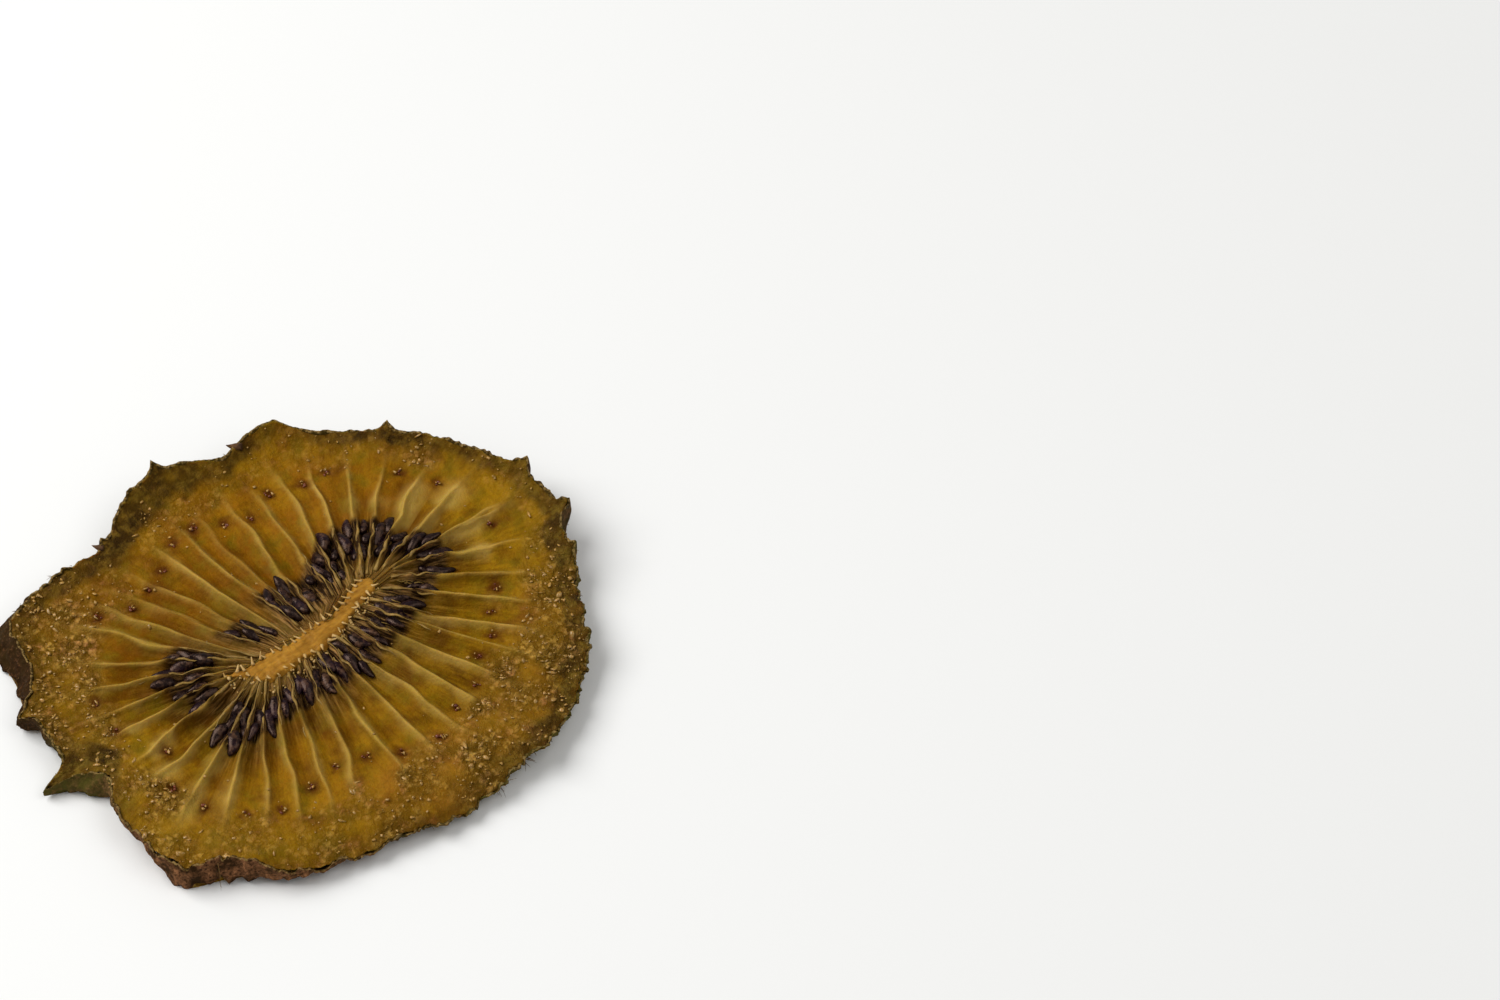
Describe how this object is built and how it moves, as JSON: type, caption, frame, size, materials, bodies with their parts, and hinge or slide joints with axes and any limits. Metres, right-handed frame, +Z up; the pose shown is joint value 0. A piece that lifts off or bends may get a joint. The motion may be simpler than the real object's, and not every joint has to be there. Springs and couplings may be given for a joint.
{
  "type": "dried kiwi slice",
  "caption": "Dried slice of kiwi fruit with its skin on, an uneven oval disc with a raised core, radiating ribs, dark seeds and a puckered rim, lying flat.",
  "frame": {"origin": "middle of the slice's box in plan, on the plane that the slice lies on", "axes": "+X along the core and the slice's longer side, +Z up through the cut face that shows"},
  "size_m": [0.047, 0.0402, 0.005],
  "materials": {
    "flesh": "dried fruit flesh, leathery and a little translucent, with a satin sheen",
    "skin": "dried fuzzy fruit skin, matt and wrinkled",
    "core": "dried woody pith, pale and satin",
    "seed": "smooth dark seed coat, half gloss",
    "fibre": "dried fruit fibre and flecks of sugar, pale"
  },
  "bodies": {
    "root": {"kiwi_slice": "flesh"}
  },
  "joints": []
}
